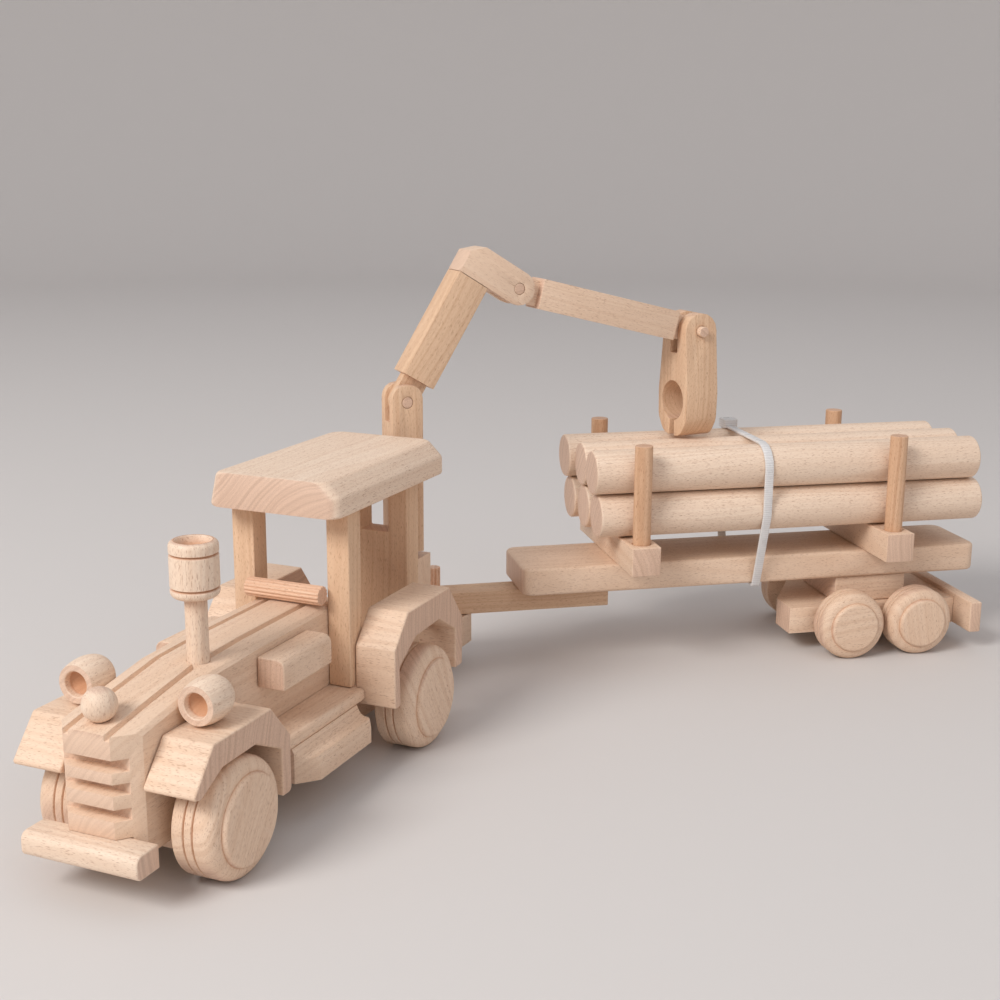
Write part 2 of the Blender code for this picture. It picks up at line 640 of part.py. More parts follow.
def build_bed(trailer):
    """The drawbar under the bed, and the bed with its two bolsters."""
    half = DRAWBAR_HALF
    side_view = rectangle(-12, DRAWBAR_END, DRAWBAR_BOTTOM, BED_BOTTOM - GAP)
    bar = prism("trailer_drawbar", side_view, -half, half, "X", trailer)
    finish(carve(bar, prism("cut_hitch", circle(0, 0, PEG_R + RUNNING), 0, 60, "Z", trailer)), BEECH_WARM)

    half = BED_HALF
    plan = outline((-half, BED_START, 7), (half, BED_START, 7), (half, BED_END, 7), (-half, BED_END, 7))
    finish(prism("trailer_bed", plan, BED_BOTTOM, BED_TOP, "Z", trailer), BEECH)

    low, high = BED_TOP + GAP, BED_TOP + BOLSTER_SIDE
    for end, place in BOLSTERS_Y.items():
        side_view = rectangle(place - BOLSTER_SIDE / 2, place + BOLSTER_SIDE / 2, low, high)
        bolster = prism("bolster_" + end, side_view, -BOLSTER_HALF, BOLSTER_HALF, "X", trailer)
        foot = high - 10
        for name, side in (("near", 1), ("far", -1)):
            stake_x = side * STAKE_X
            carve(bolster, prism("cut_stake", circle(stake_x, place, STAKE_R + GAP), foot - GAP, 90, "Z", trailer))
            stake = rod(f"stake_{end}_{name}", STAKE_R, foot, STAKE_TOP, "Z", (stake_x, place), trailer)
            finish(stake, DOWEL, 40)
        finish(bolster, BEECH)


def build_bogie(trailer):
    """Pedestal, beam and bumper under the bed's rear end, and two wheel sets."""
    half = BOGIE_PEDESTAL_HALF
    side_view = rectangle(240, 285, BOGIE_TOP + GAP, BED_BOTTOM - GAP)
    finish(prism("bogie_pedestal", side_view, -half, half, "X", trailer), BEECH)

    half, rear = BOGIE_HALF, TRAILER_BUMPER_Y - GAP
    cut_start, cut_end = 8.0, BOGIE_FRONT + 22.0
    plan = outline((-half, cut_end), (cut_start, BOGIE_FRONT), (half, BOGIE_FRONT), (half, rear), (-half, rear))
    beam = prism("bogie_beam", plan, BOGIE_BOTTOM, BOGIE_TOP, "Z", trailer)
    size = (BOGIE_WHEEL_R, BOGIE_WHEEL_WIDTH, BOGIE_HUB_R, BOGIE_WHEEL_OUTER, BOGIE_WHEEL_SIDES)
    for end, place in BOGIE_AXLES_Y.items():
        carve(beam, prism("cut_axle", circle(place, BOGIE_AXLE_Z, AXLE_R + RUNNING), -40, 40, "X", trailer))
        wheels = (f"bogie_wheel_{end}_near", f"bogie_wheel_{end}_far")
        wheelset(f"bogie_{end}_axis", wheels, "bogie_axle_" + end, place, trailer, size)
    finish(beam, BEECH)

    end_board = rectangle(TRAILER_BUMPER_Y, TRAILER_BUMPER_Y + 7.3, BOGIE_BOTTOM, 30.1)
    finish(prism("trailer_bumper", end_board, -47.9, 47.9, "X", trailer), BEECH)


def log_place(column, row):
    """A log's centre across the trailer."""
    return column * LOG_PITCH, BED_TOP + BOLSTER_SIDE + LOG_PITCH * (row + 0.5)


def build_logs(trailer):
    """Two rows of three logs; each is pushed in or out a little by hand."""
    shifts = {("near", "lower"): 1.1, ("near", "upper"): -2.0, ("middle", "lower"): 0.6,
              ("middle", "upper"): -1.4, ("far", "lower"): -0.8, ("far", "upper"): -4.4}
    columns = {"near": 1, "middle": 0, "far": -1}
    rows = {"lower": 0, "upper": 1}
    for (column, row), shift in shifts.items():
        start = LOGS_START + shift
        centre = log_place(columns[column], rows[row])
        log = rod(f"log_{row}_{column}", LOG_PITCH / 2 - GAP / 2, start, start + LOG_LENGTH, "Y", centre, trailer,
                  LOG_SIDES)
        finish(log, BEECH, 40)


def build_cable_tie(trailer):
    """A strap pulled taut round the logs and the bed, with its lock head on top."""
    thick, half_width = 1.3, 2.5
    wrapped = [(-BED_HALF, BED_BOTTOM, 0), (BED_HALF, BED_BOTTOM, 0)]
    for column, row in ((1, 0), (1, 1), (-1, 1), (-1, 0)):
        wrapped.append((*log_place(column, row), LOG_PITCH / 2))
    loops = []
    for reach in (GAP, GAP + thick):
        loops.append(belt([(x, z, radius + reach) for x, z, radius in wrapped]))
    inner, outer = loops
    low, high = TIE_Y - half_width, TIE_Y + half_width

    solid = bmesh.new()
    rings = [[solid.verts.new(on_axis(x, z, along, "Y")) for x, z in points]
             for along, points in ((low, inner), (high, inner), (high, outer), (low, outer))]
    for ring, following in zip(rings, rings[1:] + rings[:1]):
        for index in range(len(ring)):
            solid.faces.new((ring[index - 1], ring[index], following[index], following[index - 1]))
    strap = add_object("cable_tie", solid, trailer)

    top = log_place(0, 1)[1] + LOG_PITCH / 2 + GAP
    head = prism("lock_head", rectangle(-32, -23, top, top + 5.2), TIE_Y - 4.2, TIE_Y + 4.2, "Y", trailer)
    finish(fuse(strap, head), NYLON, 35)


def build_trailer(tractor):
    trailer = frame("hitch_axis", (0, HITCH_Y, 0), tractor, (0, 0, -TRAILER_YAW))
    build_bed(trailer)
    build_bogie(trailer)
    build_logs(trailer)
    build_cable_tie(trailer)


def build_tractor():
    tractor = frame("tractor", (0, 0, 0))
    build_hood(tractor)
    build_hood_fittings(tractor)
    build_fenders(tractor)
    build_chassis(tractor)
    build_step_board(tractor)
    build_cab(tractor)
    build_rear_pegs(tractor)
    wheel_sets = (("front", FRONT_Y, FRONT_WHEEL_OUTER, FRONT_SLIDE), ("rear", REAR_Y, REAR_WHEEL_OUTER, REAR_SLIDE))
    for end, place, outer, slide in wheel_sets:
        names = (f"{end}_wheel_left", f"{end}_wheel_right")
        size = (WHEEL_R, WHEEL_WIDTH, WHEEL_HUB_R, outer, WHEEL_SIDES)
        wheelset(end + "_axis", names, end + "_axle", place, tractor, size, slide)
    return tractor


def centre_on_origin(toy):
    """Move the toy so that the origin is on the ground, under the middle of its bounding box."""
    bpy.context.view_layer.update()
    corners = []
    for obj in bpy.data.objects:
        if obj.type == "MESH":
            corners += [obj.matrix_world @ vertex.co for vertex in obj.data.vertices]
    for axis in (0, 1):
        along = [corner[axis] for corner in corners]
        toy.location[axis] -= (min(along) + max(along)) / 2
    toy.location.z -= min(corner.z for corner in corners)


for existing in list(bpy.data.objects):
    bpy.data.objects.remove(existing)
toy = build_tractor()
build_crane(toy)
build_trailer(toy)
centre_on_origin(toy)
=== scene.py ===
"""The looks of the wooden toy tractor with its crane and its log trailer.

Each wooden block keeps the shape of its CAD node and gets eased edges, and each turned piece
is turned again from a fine profile. Every piece has its own cut of procedural beech, whose
grain runs the way it was sawn. Profiles are in millimetres, and MM turns them into metres.
"""

import json
import math
import random

import bmesh
import bpy
import numpy as np
from mathutils import Matrix, Vector


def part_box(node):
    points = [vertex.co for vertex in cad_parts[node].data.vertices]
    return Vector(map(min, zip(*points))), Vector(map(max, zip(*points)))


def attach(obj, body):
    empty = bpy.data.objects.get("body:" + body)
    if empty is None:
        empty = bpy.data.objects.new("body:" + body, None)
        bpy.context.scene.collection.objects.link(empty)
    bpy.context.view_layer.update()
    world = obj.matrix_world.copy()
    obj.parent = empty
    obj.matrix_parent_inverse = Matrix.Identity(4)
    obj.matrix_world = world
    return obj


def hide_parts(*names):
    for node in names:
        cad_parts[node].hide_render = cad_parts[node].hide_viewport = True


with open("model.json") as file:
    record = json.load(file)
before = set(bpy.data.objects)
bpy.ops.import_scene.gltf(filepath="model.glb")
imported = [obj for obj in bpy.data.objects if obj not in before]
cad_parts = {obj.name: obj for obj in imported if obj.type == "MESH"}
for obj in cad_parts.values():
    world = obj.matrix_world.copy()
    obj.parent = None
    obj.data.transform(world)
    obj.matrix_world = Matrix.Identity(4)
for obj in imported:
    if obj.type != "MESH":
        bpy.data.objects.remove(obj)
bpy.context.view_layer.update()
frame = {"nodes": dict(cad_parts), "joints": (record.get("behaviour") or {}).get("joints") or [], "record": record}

MM = 0.001

# How finely round shapes are drawn, and which edges count as edges
TURNED_SIDES = 96
ARC_STEP = math.radians(9)
EASED_ABOVE = math.radians(28)
TURNED_SHARP = math.radians(35)
EASED_SHARP = math.radians(40)

# Turned details, in millimetres, or as shares of a wheel's width or radius
FLUTE_DEPTH = 0.55
HUB_STEP = 2.4
HUB_BORE = 3.5
BORE_SHARE = 0.55
TREAD_GROOVE_SHARES = (0.26, 0.45)
WHEEL_HUB_SHARE = 0.741
BOGIE_HUB_SHARE = 0.694

# Distance between the ladder ribs of the cable tie, in metres
RIB_PITCH = 0.0013

record = frame["record"]
BODY = {node: body for body, nodes in record["behaviour"]["bodies"].items() for node in nodes}
SLOT = {part["node"]: part["material_slot"] for part in record["subparts"]}
JOINT = {joint["name"]: joint for joint in frame["joints"]}

X, Y, Z = Vector((1, 0, 0)), Vector((0, 1, 0)), Vector((0, 0, 1))


def axis_of(joint):
    return Vector(JOINT[joint]["axis"]).normalized()


def run_between(joint, following):
    return (Vector(JOINT[following]["pos_m"]) - Vector(JOINT[joint]["pos_m"])).normalized()


# Directions of the crane, whose booms turn about the same cross axis, and of the trailer
CRANE_CROSS = axis_of("boom_lift")
LOWER_BOOM = axis_of("boom_swivel")
ELBOW_HEAD = LOWER_BOOM.cross(CRANE_CROSS).normalized()
UPPER_BOOM = run_between("elbow", "grapple_swing")
TRAILER_CROSS = axis_of("bogie_front_spin")
TRAILER_ALONG = run_between("bogie_front_spin", "bogie_rear_spin")


# Materials

def srgb(red, green, blue):
    """A linear colour from the 0 to 255 values of a colour chart."""
    return tuple(((value / 255 + 0.055) / 1.055) ** 2.4 for value in (red, green, blue)) + (1,)


TONES = {
    "beech": (srgb(238, 210, 185), srgb(222, 187, 158)),
    "beech_pale": (srgb(241, 218, 196), srgb(228, 198, 173)),
    "beech_warm": (srgb(231, 197, 165), srgb(211, 170, 136)),
    "dowel": (srgb(224, 184, 150), srgb(190, 143, 108)),
    "fluted": (srgb(238, 202, 174), srgb(204, 150, 116)),
}
FLECK = srgb(160, 108, 76)
# Painted shade for the bottoms of grooves and other hollows
GROOVE_SHADE = srgb(196, 134, 88)
END_GRAIN = srgb(216, 178, 156)
END_RING = srgb(186, 144, 122)


def add_node(tree, kind, inputs, **settings):
    """A shader node; an input that is a socket is linked, and any other is a value."""
    made = tree.nodes.new("ShaderNode" + kind)
    for key, value in settings.items():
        setattr(made, key, value)
    for key, value in inputs.items():
        if isinstance(value, bpy.types.NodeSocket):
            tree.links.new(value, made.inputs[key])
        else:
            made.inputs[key].default_value = value
    return made


def calculate(tree, operation, *values):
    return add_node(tree, "Math", dict(enumerate(values)), operation=operation).outputs[0]


def vector_math(tree, operation, first, second):
    made = add_node(tree, "VectorMath", {0: first, 1: second}, operation=operation)
    return made.outputs["Value" if operation == "DOT_PRODUCT" else "Vector"]


def noise(tree, vector, scale, detail):
    inputs = {"Vector": vector, "Scale": scale, "Detail": detail}
    return add_node(tree, "TexNoise", inputs).outputs["Fac"]


def streaks(tree, place, along, across, detail):
    """Noise with so many cells per metre along the fibres and across them."""
    return noise(tree, vector_math(tree, "MULTIPLY", place, (along, across, across)), 1, detail)


def step_between(tree, value, low, high):
    """0 below low, 1 above high, and smooth between."""
    inputs = {"Value": value, "From Min": low, "From Max": high}
    return add_node(tree, "MapRange", inputs, interpolation_type="SMOOTHSTEP").outputs[0]


def mix(tree, factor, first, second):
    return add_node(tree, "Mix", {0: factor, 6: first, 7: second}, data_type="RGBA").outputs[2]


def tint(tree, colour, towards, mask, strength):
    """The colour, taken towards another one by a strength where the mask is 1."""
    return mix(tree, calculate(tree, "MULTIPLY", mask, strength), colour, towards)


def start_material(name):
    """A material with an empty node tree, and the sockets of its texture coordinates."""
    material = bpy.data.materials.new(name)
    material.use_nodes = True
    tree = material.node_tree
    tree.nodes.clear()
    return material, tree, add_node(tree, "TexCoord", {}).outputs


def end_material(tree, height, depth, inputs):
    """The surface, with a bump from a height that is so many metres deep."""
    bump = add_node(tree, "Bump", {"Height": height, "Strength": 0.5, "Distance": depth})
    shader = add_node(tree, "BsdfPrincipled", {**inputs, "Normal": bump.outputs[0]})
    output = add_node(tree, "OutputMaterial", {})
    tree.links.new(shader.outputs[0], output.inputs[0])


def wood(name, tone, grain, seed):
    """Sanded beech: grain is the direction of its fibres, and seed picks the cut of the log."""
    draw = random.Random(seed)
    material, tree, place = start_material(name)

    # Distances along the fibres and across them, from a spot of the log of its own
    helper = X if abs(grain.z) > 0.9 else Z
    turn = Matrix.Rotation(draw.uniform(0, math.tau), 3, grain)
    across = turn @ grain.cross(helper).normalized()
    above = grain.cross(across)
    parts = [vector_math(tree, "DOT_PRODUCT", place["Object"], direction)
             for direction in (grain, across, above)]
    local = add_node(tree, "CombineXYZ", dict(enumerate(parts))).outputs[0]
    spot = (draw.uniform(0, 4), draw.uniform(0.035, 0.07), draw.uniform(0.02, 0.06))
    local = vector_math(tree, "ADD", local, spot)

    # Growth rings round the pith, wavy along the log
    wave = streaks(tree, local, along=9, across=30, detail=1)
    flat = vector_math(tree, "MULTIPLY", local, (0, 1, 1))
    radius = add_node(tree, "VectorMath", {0: flat}, operation="LENGTH").outputs["Value"]
    radius = calculate(tree, "ADD", radius, calculate(tree, "MULTIPLY", wave, 0.012))
    ring = add_node(tree, "TexNoise", {"W": radius, "Scale": 520.0, "Detail": 2.0},
                    noise_dimensions="1D").outputs["Fac"]
    ring = step_between(tree, ring, 0.35, 0.72)

    # Short dark rays along the fibres, fine pores, and a slow change of tone
    rays = streaks(tree, local, along=420, across=3000, detail=1)
    rays = step_between(tree, rays, 0.60, 0.70)
    pores = streaks(tree, local, along=700, across=6500, detail=0)
    pores = step_between(tree, pores, 0.55, 0.75)
    cloud = streaks(tree, local, along=14, across=60, detail=2)

    light, dark = TONES[tone]
    side = tint(tree, light, dark, ring, 0.55)
    side = tint(tree, side, dark, step_between(tree, cloud, 0.35, 0.7), 0.35)
    side = tint(tree, side, FLECK, pores, 0.16)
    side = tint(tree, side, FLECK, rays, 0.5)

    # End grain is greyer and pinker, with the rings as stripes and the pores as dots
    dots = noise(tree, local, 3200, 0)
    dots = step_between(tree, dots, 0.52, 0.72)
    end = mix(tree, ring, END_GRAIN, END_RING)
    end = mix(tree, 0.45, end, light)
    end = tint(tree, end, FLECK, dots, 0.35)
    facing = vector_math(tree, "DOT_PRODUCT", place["Normal"], grain)
    facing = step_between(tree, calculate(tree, "ABSOLUTE", facing), 0.72, 0.95)
    colour = mix(tree, facing, side, end)

    # Convex edges are painted paler as a painted highlight, and made a little smoother than the sanded faces
    edge = add_node(tree, "NewGeometry", {}).outputs["Pointiness"]
    edge_highlight = step_between(tree, edge, 0.52, 0.62)
    colour = tint(tree, colour, light, edge_highlight, 0.35)

    # The bottoms of grooves and other hollows are painted darker and warmer, as painted shade
    groove_shade = step_between(tree, edge, 0.485, 0.42)
    colour = tint(tree, colour, GROOVE_SHADE, groove_shade, 0.75)

    # Rays are a little rougher than the wood round them, and rings stand a little proud
    rough = calculate(tree, "MULTIPLY_ADD", rays, 0.14, 0.56)
    rough = calculate(tree, "MULTIPLY_ADD", edge_highlight, -0.1, rough)
    height = calculate(tree, "MULTIPLY_ADD", ring, 0.35, calculate(tree, "MULTIPLY", rays, -0.5))
    height = calculate(tree, "MULTIPLY_ADD", pores, -0.35, height)
    end_material(tree, height, 0.12 * MM, {
        "Base Color": colour, "Roughness": rough, "Specular IOR Level": 0.35})
    return material


def nylon():
    """Milky cable-tie plastic with fine ladder ribs and a slightly uneven shine."""
    material, tree, place = start_material("nylon")
    cloud = noise(tree, place["Object"], 160, 3)
    upward = vector_math(tree, "DOT_PRODUCT", place["Normal"], Z)
    lying = step_between(tree, calculate(tree, "ABSOLUTE", upward), 0.6, 0.8)
    waves = []
    for direction in (Z, TRAILER_CROSS):
        along = vector_math(tree, "DOT_PRODUCT", place["Object"], direction)
        phase = calculate(tree, "MULTIPLY", along, math.tau / RIB_PITCH)
        waves.append(calculate(tree, "SINE", phase))
    ribs = add_node(tree, "Mix", {0: lying, 2: waves[0], 3: waves[1]}).outputs[0]
    ribs = step_between(tree, ribs, -0.2, 0.6)
    colour = mix(tree, cloud, srgb(216, 214, 214), srgb(236, 235, 234))
    colour = tint(tree, colour, srgb(190, 186, 184), ribs, 0.25)
    rough = calculate(tree, "MULTIPLY_ADD", cloud, 0.2, 0.2)
    height = calculate(tree, "MULTIPLY_ADD", cloud, 0.3, ribs)
    end_material(tree, height, 0.3 * MM, {
        "Base Color": colour, "Roughness": rough, "Specular IOR Level": 0.5,
        "Subsurface Weight": 0.4, "Subsurface Radius": (1.0, 1.0, 1.0), "Subsurface Scale": 2 * MM})
    return material


def studio_grey():
    """The matt pale paper of the floor."""
    material = bpy.data.materials.new("floor_paper")
    material.use_nodes = True
    shader = material.node_tree.nodes["Principled BSDF"]
    shader.inputs["Base Color"].default_value = srgb(214, 209, 206)
    shader.inputs["Roughness"].default_value = 0.9
    return material


# Shapes

def outline(*corners):
    """A line through (a, b) corners; (a, b, radius) rounds that corner with an arc."""
    points = []
    for index, corner in enumerate(corners):
        here = Vector(corner[:2])
        if len(corner) == 2:
            points.append(here)
            continue
        back = (Vector(corners[index - 1][:2]) - here).normalized()
        ahead = (Vector(corners[(index + 1) % len(corners)][:2]) - here).normalized()
        half = back.angle(ahead) / 2
        centre = here + (back + ahead).normalized() * corner[2] / math.sin(half)
        start = here + back * corner[2] / math.tan(half) - centre
        turn = math.copysign(math.pi - 2 * half, ahead.x * back.y - ahead.y * back.x)
        steps = max(2, round(abs(turn) / ARC_STEP))
        for step in range(steps + 1):
            points.append(centre + Matrix.Rotation(turn * step / steps, 2) @ start)
    return points


def corners_of(node):
    return np.array([vertex.co for vertex in frame["nodes"][node].data.vertices], float)


def spindle(node, axis):
    """The middle line of a round CAD node, its two ends along the axis, and its radius."""
    corners = corners_of(node)
    along = corners @ np.array(axis)
    side = axis.cross(X if abs(axis.z) > 0.9 else Z).normalized()
    above = axis.cross(side)
    first, second = corners @ np.array(side), corners @ np.array(above)
    middle = np.array([(first.min() + first.max()) / 2, (second.min() + second.max()) / 2])
    radius = np.hypot(first - middle[0], second - middle[1]).max()
    return side * middle[0] + above * middle[1], along.min(), along.max(), radius


def put_in_place(piece, node, grain, tone=None):
    """Puts a piece in the place of its CAD node, on the same body, in a wood of its own."""
    slot = SLOT[node]
    if slot == "nylon":
        material = nylon()
    else:
        material = wood(node, tone or slot, grain, node)
    piece.data.materials.clear()
    piece.data.materials.append(material)
    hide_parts(node)
    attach(piece, BODY[node])
    return piece


def new_piece(node, solid):
    """A piece named after its CAD node from a bmesh, smooth except at its sharp edges."""
    bmesh.ops.recalc_face_normals(solid, faces=solid.faces)
    if solid.calc_volume(signed=True) < 0:
        bmesh.ops.reverse_faces(solid, faces=solid.faces)
    mesh = bpy.data.meshes.new(node + "_looks")
    solid.to_mesh(mesh)
    solid.free()
    mesh.shade_smooth()
    mesh.set_sharp_from_angle(angle=TURNED_SHARP)
    piece = bpy.data.objects.new(node + "_looks", mesh)
    bpy.context.scene.collection.objects.link(piece)
    return piece


def turned(node, axis, profile, grain=None, flutes=0, tone=None, flush_with=None):
    """A piece turned about its CAD node's middle line, from a profile of (radius, distance).

    The profile is a function of the node's length and radius, in millimetres. Flutes are
    shallow grooves round a dowel. A pin that is flush with another node is as long as it.
    """
    line, low, high, radius = spindle(node, axis)
    if flush_with:
        low, high = spindle(flush_with, axis)[1:3]
    points = outline(*profile((high - low) / MM, radius / MM))
    side = axis.cross(X if abs(axis.z) > 0.9 else Z).normalized()
    above = axis.cross(side)
    solid = bmesh.new()
    rings = []
    for reach, distance in points:
        centre = line + axis * (low + distance * MM)
        if reach < 1e-4:
            rings.append([solid.verts.new(centre)])
            continue
        ring = []
        for index in range(TURNED_SIDES):
            angle = math.tau * index / TURNED_SIDES
            flute = FLUTE_DEPTH * (0.5 - 0.5 * math.cos(flutes * angle)) ** 2 if flutes else 0
            direction = side * math.cos(angle) + above * math.sin(angle)
            ring.append(solid.verts.new(centre + direction * (reach - flute) * MM))
        rings.append(ring)
    for ring, following in zip(rings, rings[1:]):
        for index in range(TURNED_SIDES):
            if len(ring) == 1 and len(following) == 1:
                break
            after = (index + 1) % TURNED_SIDES
            if len(ring) == 1:
                solid.faces.new((ring[0], following[index], following[after]))
            elif len(following) == 1:
                solid.faces.new((ring[index], ring[after], following[0]))
            else:
                solid.faces.new((ring[index], ring[after], following[after], following[index]))
    return put_in_place(new_piece(node, solid), node, grain or axis, tone)


def eased(node, grain, ease, solid=None):
    """The block of a CAD node, or a solid drawn for it, with its edges eased by sandpaper."""
    if solid is None:
        solid = bmesh.new()
        solid.from_mesh(frame["nodes"][node].data)
        bmesh.ops.remove_doubles(solid, verts=solid.verts, dist=1e-6)
        bmesh.ops.dissolve_limit(
            solid, angle_limit=math.radians(1), verts=solid.verts, edges=solid.edges)
    block = new_piece(node, solid)
    bevel = block.modifiers.new("eased_edges", "BEVEL")
    bevel.width = ease * MM
    bevel.segments = 3
    bevel.limit_method = "ANGLE"
    bevel.angle_limit = EASED_ABOVE
    bevel.miter_outer = "MITER_ARC"
    bevel.use_clamp_overlap = True
    evaluated = block.evaluated_get(bpy.context.evaluated_depsgraph_get())
    shape = bpy.data.meshes.new_from_object(evaluated)
    block.modifiers.clear()
    block.data = shape
    shape.shade_smooth()
    shape.set_sharp_from_angle(angle=EASED_SHARP)
    return put_in_place(block, node, grain)


def roof_board():
    """The roof: bevelled along its sides, steeper on the right, and round at its corners."""
    low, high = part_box("cab_roof")
    middle = (low.x + high.x) / 2
    half, height = (high.x - low.x) / 2 / MM, (high.z - low.z) / MM
    left_slope, right_slope, side_height = 7.6, 3.8, height * 0.55
    section = outline((-half, 0, 1.5), (half, 0, 1.5), (half, side_height, 3),
                      (half - left_slope, height, 4), (right_slope - half, height, 3.5))
    corner, steps = 6.0, 8
    turns = [math.pi / 2 * step / steps for step in range(steps + 1)]
    insets = [(corner * (1 - math.cos(turn)), corner * (1 - math.sin(turn))) for turn in turns]
    stations = [(low.y + along * MM, inset) for along, inset in insets]
    stations += [(high.y - along * MM, inset) for along, inset in reversed(insets)]
    solid = bmesh.new()
    rings = []
    for place, inset in stations:
        ring = []
        for x, z in section:
            across = (x - math.copysign(inset, x)) * MM
            ring.append(solid.verts.new((middle + across, place, low.z + z * MM)))
        rings.append(ring)
    for ring, following in zip(rings, rings[1:]):
        for index in range(len(section)):
            solid.faces.new((ring[index - 1], ring[index], following[index], following[index - 1]))
    solid.faces.new(rings[0])
    solid.faces.new(rings[-1])
    return solid


# Profiles of the turned pieces, as functions of length and radius

def plain_dowel(length, radius):
    return (0, 0), (radius, 0, 0.5), (radius, length, 0.5), (0, length)


def log_profile(length, radius):
    return (0, 0), (radius, 0, 1.3), (radius, length, 1.3), (0, length)


def ball_profile(length, radius):
    steps = 24
    middle = length / 2
    turns = [math.pi * step / steps for step in range(1, steps)]
    curve = [(middle * math.sin(turn), middle - middle * math.cos(turn)) for turn in turns]
    return (0, 0), *curve, (0, length)


def groove(radius, middle, half_width, depth, rounding):
    """The points of a groove that is cut round a turned surface."""
    return [(radius, middle - half_width, rounding), (radius - depth, middle),
            (radius, middle + half_width, rounding)]


def wheel_profile(hub_share):
    """Two tread grooves near the inner face, a round shoulder and a raised hub."""
    def profile(length, radius):
        hub, rim, bottom = radius * hub_share, length - HUB_STEP, length * BORE_SHARE
        points = [(0, bottom), (HUB_BORE, bottom), (HUB_BORE, 0), (radius, 0, 1.0)]
        for share in TREAD_GROOVE_SHARES:
            points += groove(radius, length * share, 0.55, 1.1, 0.25)
        points += [(radius, rim, radius - hub - 1.2), (hub + 0.6, rim)]
        points += [(hub, length - 0.2, 1.6), (0, length)]
        return points
    return profile


def lamp_profile(length, radius):
    """A blunt barrel with a flat front ring round a cone-bottomed hole, and a round back."""
    middle, steps = length * 0.52, 20
    hole = [(0, 5.6), (5.2, 3.4), (5.6, 0.3), (6.0, 0)]
    face, back = math.radians(-38), math.radians(82)
    bluntness, back_share = 0.6, 0.8
    stretch = middle / math.sin(-face)
    body = []
    for step in range(steps + 1):
        turn = face + (back - face) * step / steps
        distance = middle + stretch * math.sin(turn) * (1 if turn < 0 else back_share)
        body.append((radius * math.cos(turn) ** bluntness, min(distance, length)))
    return (*hole, *body, (0, body[-1][1]))


def exhaust_profile(length, radius):
    """A stem and a barrel with two grooves, round rims and a hollow top."""
    stem, bottom = 4.8, length - 24.6
    cup, cup_taper, floor = 7.8, 1.2, length - 4
    points = [(0, 0), (stem, 0), (stem, bottom), (radius, bottom, 2.8)]
    for height in (4.2, 18.9):
        points += groove(radius, bottom + height, 0.7, 1.2, 0.3)
    points += [(radius, length, 2.4), (cup, length, 0.8), (cup - cup_taper, floor), (0, floor)]
    return points


# The tractor

def build_tractor():
    eased("hood_block", Y, 0.7)
    for end in ("front", "rear"):
        for side in ("left", "right"):
            eased(f"{end}_fender_{side}", X, 1.0)
    eased("front_bumper", X, 0.9)
    eased("chassis_beam", Y, 0.6)
    eased("floor_board", Y, 0.7)
    eased("step_board", Y, 0.7)
    for node in ("side_tank_left", "side_tank_right"):
        eased(node, Y, 0.8)
    for node in ("cab_post_left", "cab_post_right", "cab_rear_wall"):
        eased(node, Z, 0.7)
    eased("cab_roof", Y, 1.2, solid=roof_board())
    eased("crane_pedestal", Z, 0.7)
    turned("radiator_ball", Z, ball_profile)
    turned("exhaust_stack", Z, exhaust_profile)
    for node in ("headlamp_left", "headlamp_right"):
        turned(node, Y, lamp_profile)
    turned("dashboard_bar", X, plain_dowel, flutes=14, tone="fluted")
    turned("hitch_pin", Z, plain_dowel, flutes=12, tone="fluted")


def build_wheels():
    draw = random.Random(7)
    for end in ("front", "rear"):
        turned(end + "_axle", X, plain_dowel)
        for side, outward in (("left", X), ("right", -X)):
            angle = draw.uniform(0, math.pi)
            grain = Vector((0, math.cos(angle), math.sin(angle)))
            turned(f"{end}_wheel_{side}", outward, wheel_profile(WHEEL_HUB_SHARE), grain)
    for end in ("front", "rear"):
        turned("bogie_axle_" + end, TRAILER_CROSS, plain_dowel)
        for side, outward in (("near", TRAILER_CROSS), ("far", -TRAILER_CROSS)):
            grain = Matrix.Rotation(draw.uniform(0, math.pi), 3, TRAILER_CROSS) @ Z
            turned(f"bogie_wheel_{end}_{side}", outward, wheel_profile(BOGIE_HUB_SHARE), grain)


def build_crane():
    eased("crane_mast", Z, 0.8)
    eased("lower_boom", LOWER_BOOM, 0.8)
    eased("elbow_head", ELBOW_HEAD, 0.8)
    eased("upper_boom", UPPER_BOOM, 0.8)
    eased("grapple", Z, 0.9)
    forks = {"mast_pin": "crane_mast", "elbow_pin": "elbow_head", "grapple_pin": "grapple"}
    for node, fork in forks.items():
        turned(node, CRANE_CROSS, plain_dowel, tone="beech", flush_with=fork)


def build_trailer():
    eased("trailer_drawbar", TRAILER_ALONG, 0.7)
    eased("trailer_bed", TRAILER_ALONG, 2.0)
    eased("bogie_pedestal", TRAILER_ALONG, 0.7)
    eased("bogie_beam", TRAILER_ALONG, 0.8)
    eased("trailer_bumper", TRAILER_CROSS, 0.9)
    for end in ("front", "rear"):
        eased("bolster_" + end, TRAILER_CROSS, 0.9)
        for side in ("near", "far"):
            turned(f"stake_{end}_{side}", Z, plain_dowel)
    for row in ("lower", "upper"):
        for column in ("near", "middle", "far"):
            turned(f"log_{row}_{column}", TRAILER_ALONG, log_profile, tone="beech_pale")
    eased("cable_tie", TRAILER_CROSS, 0.35)


# The studio

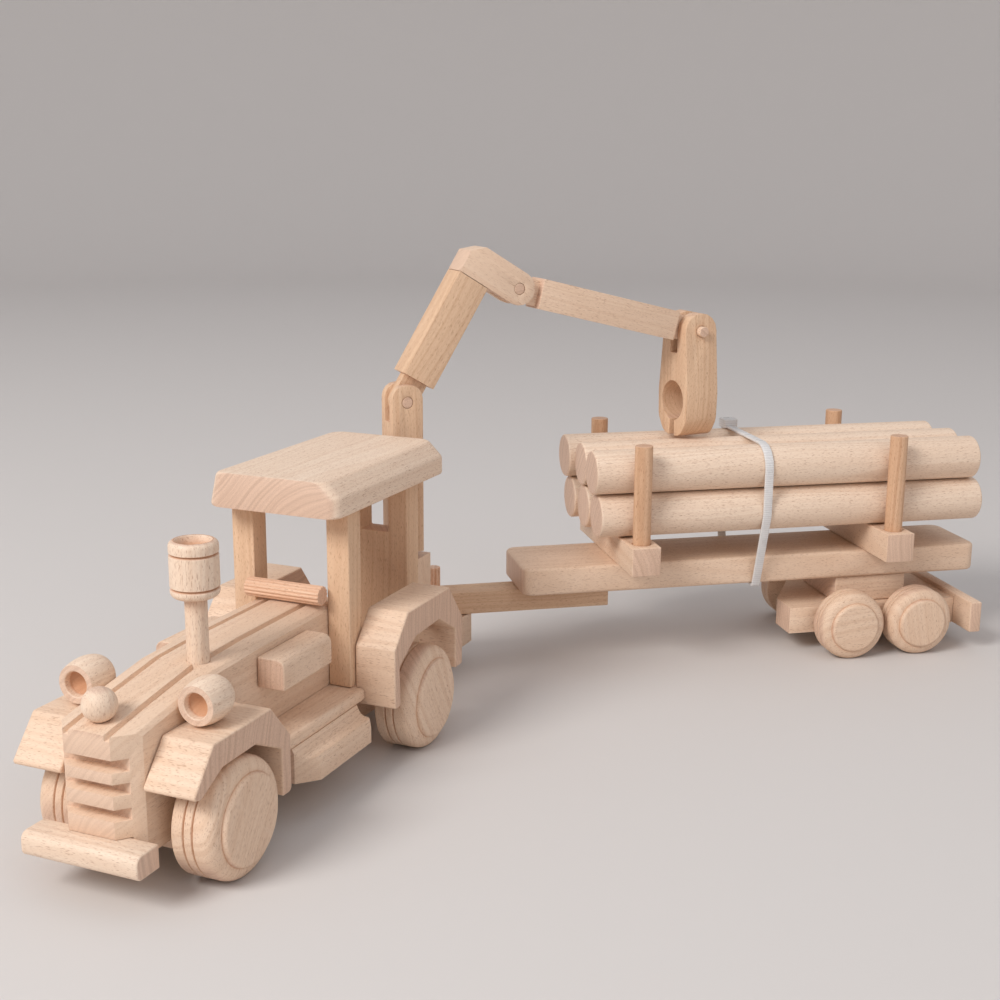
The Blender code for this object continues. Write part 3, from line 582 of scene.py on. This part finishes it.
def build_floor():
    """A round paper floor that curves up far behind the toy."""
    flat, bend, top = 2.6, 1.0, 2.6
    steps, sides = 12, 96
    profile = [(flat, 0)]
    for step in range(1, steps + 1):
        angle = math.pi / 2 * step / steps
        profile.append((flat + bend * math.sin(angle), bend - bend * math.cos(angle)))
    profile.append((flat + bend, top))
    solid = bmesh.new()
    rings = []
    for radius, height in profile:
        ring = []
        for side in range(sides):
            angle = math.tau * side / sides
            place = (radius * math.cos(angle), radius * math.sin(angle), height)
            ring.append(solid.verts.new(place))
        rings.append(ring)
    solid.faces.new(rings[0])
    solid.faces.ensure_lookup_table()
    for ring, following in zip(rings, rings[1:]):
        for index in range(sides):
            solid.faces.new((ring[index - 1], ring[index], following[index], following[index - 1]))
    bmesh.ops.recalc_face_normals(solid, faces=solid.faces)
    if solid.faces[0].normal.z < 0:
        bmesh.ops.reverse_faces(solid, faces=solid.faces)
    mesh = bpy.data.meshes.new("studio_floor")
    solid.to_mesh(mesh)
    solid.free()
    mesh.shade_smooth()
    mesh.materials.append(studio_grey())
    floor = bpy.data.objects.new("studio_floor", mesh)
    bpy.context.scene.collection.objects.link(floor)


def add_area_light(name, place, target, size, power, colour=(1, 1, 1)):
    lamp = bpy.data.lights.new(name, "AREA")
    lamp.shape = "DISK"
    lamp.size = size
    lamp.energy = power
    lamp.color = colour
    light = bpy.data.objects.new(name, lamp)
    light.location = place
    light.rotation_mode = "QUATERNION"
    light.rotation_quaternion = (Vector(target) - Vector(place)).to_track_quat("-Z", "Y")
    bpy.context.scene.collection.objects.link(light)


def build_lights():
    add_area_light("key", (-0.8, -2.0, 1.8), (0, 0.05, 0.08), 1.2, 50, (1.0, 0.985, 0.965))
    add_area_light("fill", (1.6, -1.2, 1.2), (0, 0, 0.08), 1.4, 5, (0.96, 0.98, 1.0))
    add_area_light("top", (0.2, 0.5, 2.1), (0, 0, 0.05), 1.6, 2)
    world = bpy.data.worlds.new("studio")
    world.use_nodes = True
    background = world.node_tree.nodes["Background"]
    background.inputs["Color"].default_value = (0.95, 0.96, 1.0, 1)
    background.inputs["Strength"].default_value = 0.56
    bpy.context.scene.world = world


def build_camera():
    """Eye level of a person at the table, in front of the tractor's left corner."""
    azimuth, elevation, roll = math.radians(23.5), math.radians(13.49), math.radians(0.32)
    from_front_axle = Vector((0.3616, -0.4689, 0.2676))
    camera = bpy.data.cameras.new("camera")
    camera.lens = 53.27
    camera.sensor_width = 36
    eye = bpy.data.objects.new("camera", camera)
    eye.matrix_world = (Matrix.Rotation(azimuth, 4, "Z")
                        @ Matrix.Rotation(math.pi / 2 - elevation, 4, "X")
                        @ Matrix.Rotation(roll, 4, "Z"))
    eye.location = Vector(JOINT["front_axle_spin"]["pos_m"]) + from_front_axle
    bpy.context.scene.collection.objects.link(eye)
    bpy.context.scene.camera = eye


build_tractor()
build_wheels()
build_crane()
build_trailer()
build_floor()
build_lights()
build_camera()
bpy.context.scene.view_settings.view_transform = "Standard"
